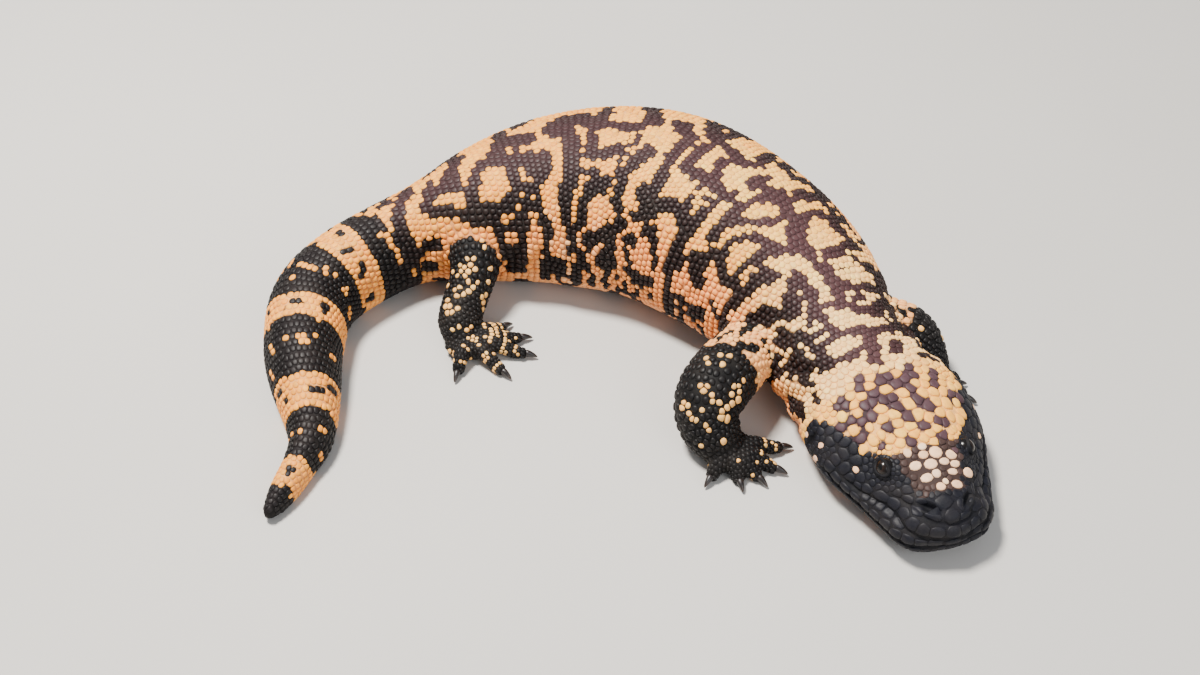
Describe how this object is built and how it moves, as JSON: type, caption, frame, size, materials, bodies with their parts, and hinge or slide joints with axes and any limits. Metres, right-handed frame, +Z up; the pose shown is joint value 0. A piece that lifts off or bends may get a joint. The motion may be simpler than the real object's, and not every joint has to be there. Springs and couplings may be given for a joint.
{
  "type": "gila monster",
  "caption": "Life-size Gila monster, a heavy beaded lizard lying in a wide C with its head low, a forefoot set forward and its thick tail curled round behind.",
  "frame": {"origin": "on the floor, under the middle of the box round the whole animal", "axes": "X along the chord of the animal's bend, with the head and the hips' far ends apart along it; +Y towards the outside of the bend, where the left side of the body is, and -Y towards its open side; Z up"},
  "size_m": [0.2677, 0.2214, 0.06],
  "materials": {
    "head_skin": "matt beaded scales, ochre blotched with purplish brown, black at the muzzle",
    "jaw_skin": "smooth black plates with a soft sheen",
    "body_skin": "matt domed bead scales in rows, orange and cream netted with near black",
    "limb_skin": "matt domed bead scales, black with a few cream beads",
    "claw": "dark horn, smooth, paler at the root",
    "eye": "wet gloss, dark brown to black"
  },
  "bodies": {
    "root": {"claw_foot_left_1": "claw", "claw_foot_left_2": "claw", "claw_foot_left_3": "claw", "claw_foot_left_4": "claw", "claw_foot_left_5": "claw", "claw_foot_right_1": "claw", "claw_foot_right_2": "claw", "claw_foot_right_3": "claw", "claw_foot_right_4": "claw", "claw_foot_right_5": "claw", "claw_hand_left_1": "claw", "claw_hand_left_2": "claw", "claw_hand_left_3": "claw", "claw_hand_left_4": "claw", "claw_hand_left_5": "claw", "claw_hand_right_1": "claw", "claw_hand_right_2": "claw", "claw_hand_right_3": "claw", "claw_hand_right_4": "claw", "claw_hand_right_5": "claw", "eye_left": "eye", "eye_right": "eye", "foot_left": "limb_skin", "foot_right": "limb_skin", "forearm_left": "limb_skin", "forearm_right": "limb_skin", "hand_left": "limb_skin", "hand_right": "limb_skin", "head": "head_skin", "lower_jaw": "jaw_skin", "neck": "body_skin", "shin_left": "limb_skin", "shin_right": "limb_skin", "tail_end": "body_skin", "tail_middle": "body_skin", "tail_root": "body_skin", "thigh_left": "limb_skin", "thigh_right": "limb_skin", "trunk_front": "body_skin", "trunk_middle": "body_skin", "trunk_rear": "body_skin", "upper_arm_left": "limb_skin", "upper_arm_right": "limb_skin"}
  },
  "joints": []
}
